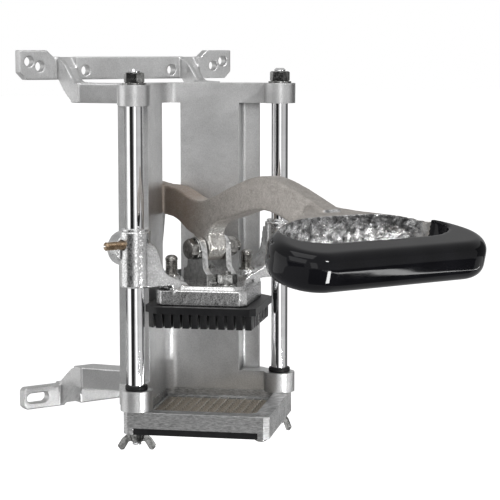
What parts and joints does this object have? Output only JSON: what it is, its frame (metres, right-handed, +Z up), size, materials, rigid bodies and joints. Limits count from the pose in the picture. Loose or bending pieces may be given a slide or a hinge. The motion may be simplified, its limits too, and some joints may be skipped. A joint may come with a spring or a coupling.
{
  "type": "vegetable dicer",
  "caption": "Wall-mounted lever press that pushes a toothed block down guide rods and through a square blade grid to dice vegetables.",
  "frame": {"origin": "midway between the two inner bolt holes of the upper wall bracket, on the face against the wall", "axes": "+Y into the wall, +X to the right of the user, +Z up; the user stands at -Y"},
  "size_m": [0.279, 0.504, 0.4177],
  "materials": {
    "cast_frame": "satin, as cast with a fine speckle",
    "machined_base": "brushed and mottled",
    "head_alloy": "bright tumbled casting",
    "lever_iron": "rough sand casting",
    "polished_rod": "polished",
    "zinc": "zinc plated",
    "clevis_steel": "bright",
    "dark_steel": "dark oiled",
    "blade_steel": "stainless, thin",
    "brass_screw": "dull brass",
    "black_plastic": "satin black",
    "black_rubber": "matt black",
    "black_vinyl": "glossy dip"
  },
  "bodies": {
    "frame": {"column_casting": "cast_frame", "upper_wall_bracket": "cast_frame", "lower_wall_bracket": "cast_frame", "base_plate": "machined_base", "blade_cartridge": "machined_base", "blade_strips": "black_plastic", "long_blades": "blade_steel", "cross_blades": "blade_steel", "corner_stud": "zinc", "guide_rod_left": "polished_rod", "guide_rod_right": "polished_rod", "rod_nuts": "zinc", "rod_washers": "zinc", "bump_collars": "black_rubber", "anchor_bolt": "zinc", "anchor_nut": "zinc"},
    "head": {"head_casting": "head_alloy", "upper_bushes": "head_alloy", "lower_bushes": "head_alloy", "clevis_bracket": "clevis_steel", "clevis_screws": "dark_steel", "pivot_bolt": "dark_steel", "pivot_washers": "zinc", "pivot_nut": "dark_steel", "push_block": "black_plastic", "push_studs": "zinc", "push_screws": "dark_steel", "lock_screw": "brass_screw"},
    "lever": {"lever_casting": "lever_iron", "vinyl_grip": "black_vinyl"},
    "link": {"link_plates": "clevis_steel", "link_pin": "dark_steel", "link_spacer": "zinc"},
    "wing_nut_left": {"wing_nut_left": "zinc"},
    "wing_nut_right": {"wing_nut_right": "zinc"}
  },
  "joints": [
    {"name": "head_slide", "type": "slide", "parent": "frame", "child": "head", "axis": [0, 0, -1], "range_m": [-0.05, 0.103]},
    {"name": "lever_pivot", "type": "hinge", "parent": "head", "child": "lever", "pos_m": [0, -0.176, -0.187], "axis": [1, 0, 0], "range_deg": [-21.7, 44.6]},
    {"name": "link_anchor", "type": "hinge", "parent": "frame", "child": "link", "pos_m": [0, -0.045, -0.24], "axis": [1, 0, 0], "range_deg": [-15.9, 32.6]},
    {"name": "wing_nut_left_turn", "type": "hinge", "parent": "frame", "child": "wing_nut_left", "pos_m": [-0.092, -0.176, -0.385], "axis": [0, 0, 1], "continuous": true},
    {"name": "wing_nut_right_turn", "type": "hinge", "parent": "frame", "child": "wing_nut_right", "pos_m": [0.092, -0.176, -0.385], "axis": [0, 0, 1], "continuous": true}
  ],
  "couplings": [
    {"joint": "lever_pivot", "follows": "head_slide", "rad_per_m": 7.522},
    {"joint": "link_anchor", "follows": "head_slide", "rad_per_m": 5.48}
  ]
}
